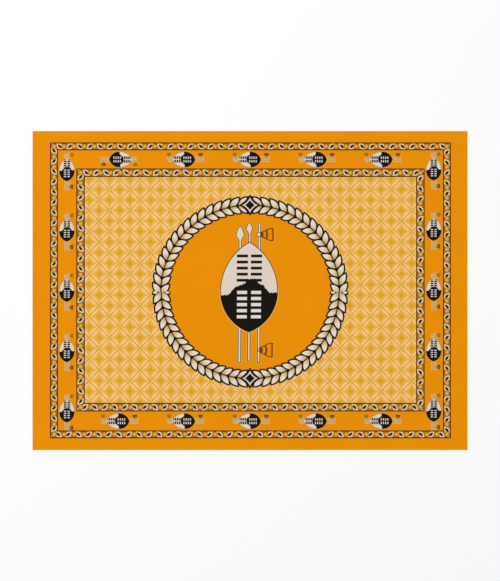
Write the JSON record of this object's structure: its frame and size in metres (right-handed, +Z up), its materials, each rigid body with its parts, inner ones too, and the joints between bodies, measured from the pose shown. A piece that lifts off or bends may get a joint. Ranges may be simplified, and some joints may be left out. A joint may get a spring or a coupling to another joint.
{
  "type": "kanga wrap cloth",
  "caption": "Rectangular printed cotton wrap cloth lying flat, with a bordered field, a leaf wreath and a shield figure in the middle.",
  "frame": {"origin": "under the middle of the cloth, on the surface that it lies on", "axes": "+X along the long side, +Y toward the upper border of the print, +Z up out of the printed face"},
  "size_m": [1.5, 1.1, 0.0034],
  "materials": {
    "printed_cotton": "matt plain-weave cotton, marigold orange ground with a cream, black, gold and peach print"
  },
  "bodies": {
    "root": {"kanga_cloth": "printed_cotton"}
  },
  "joints": []
}
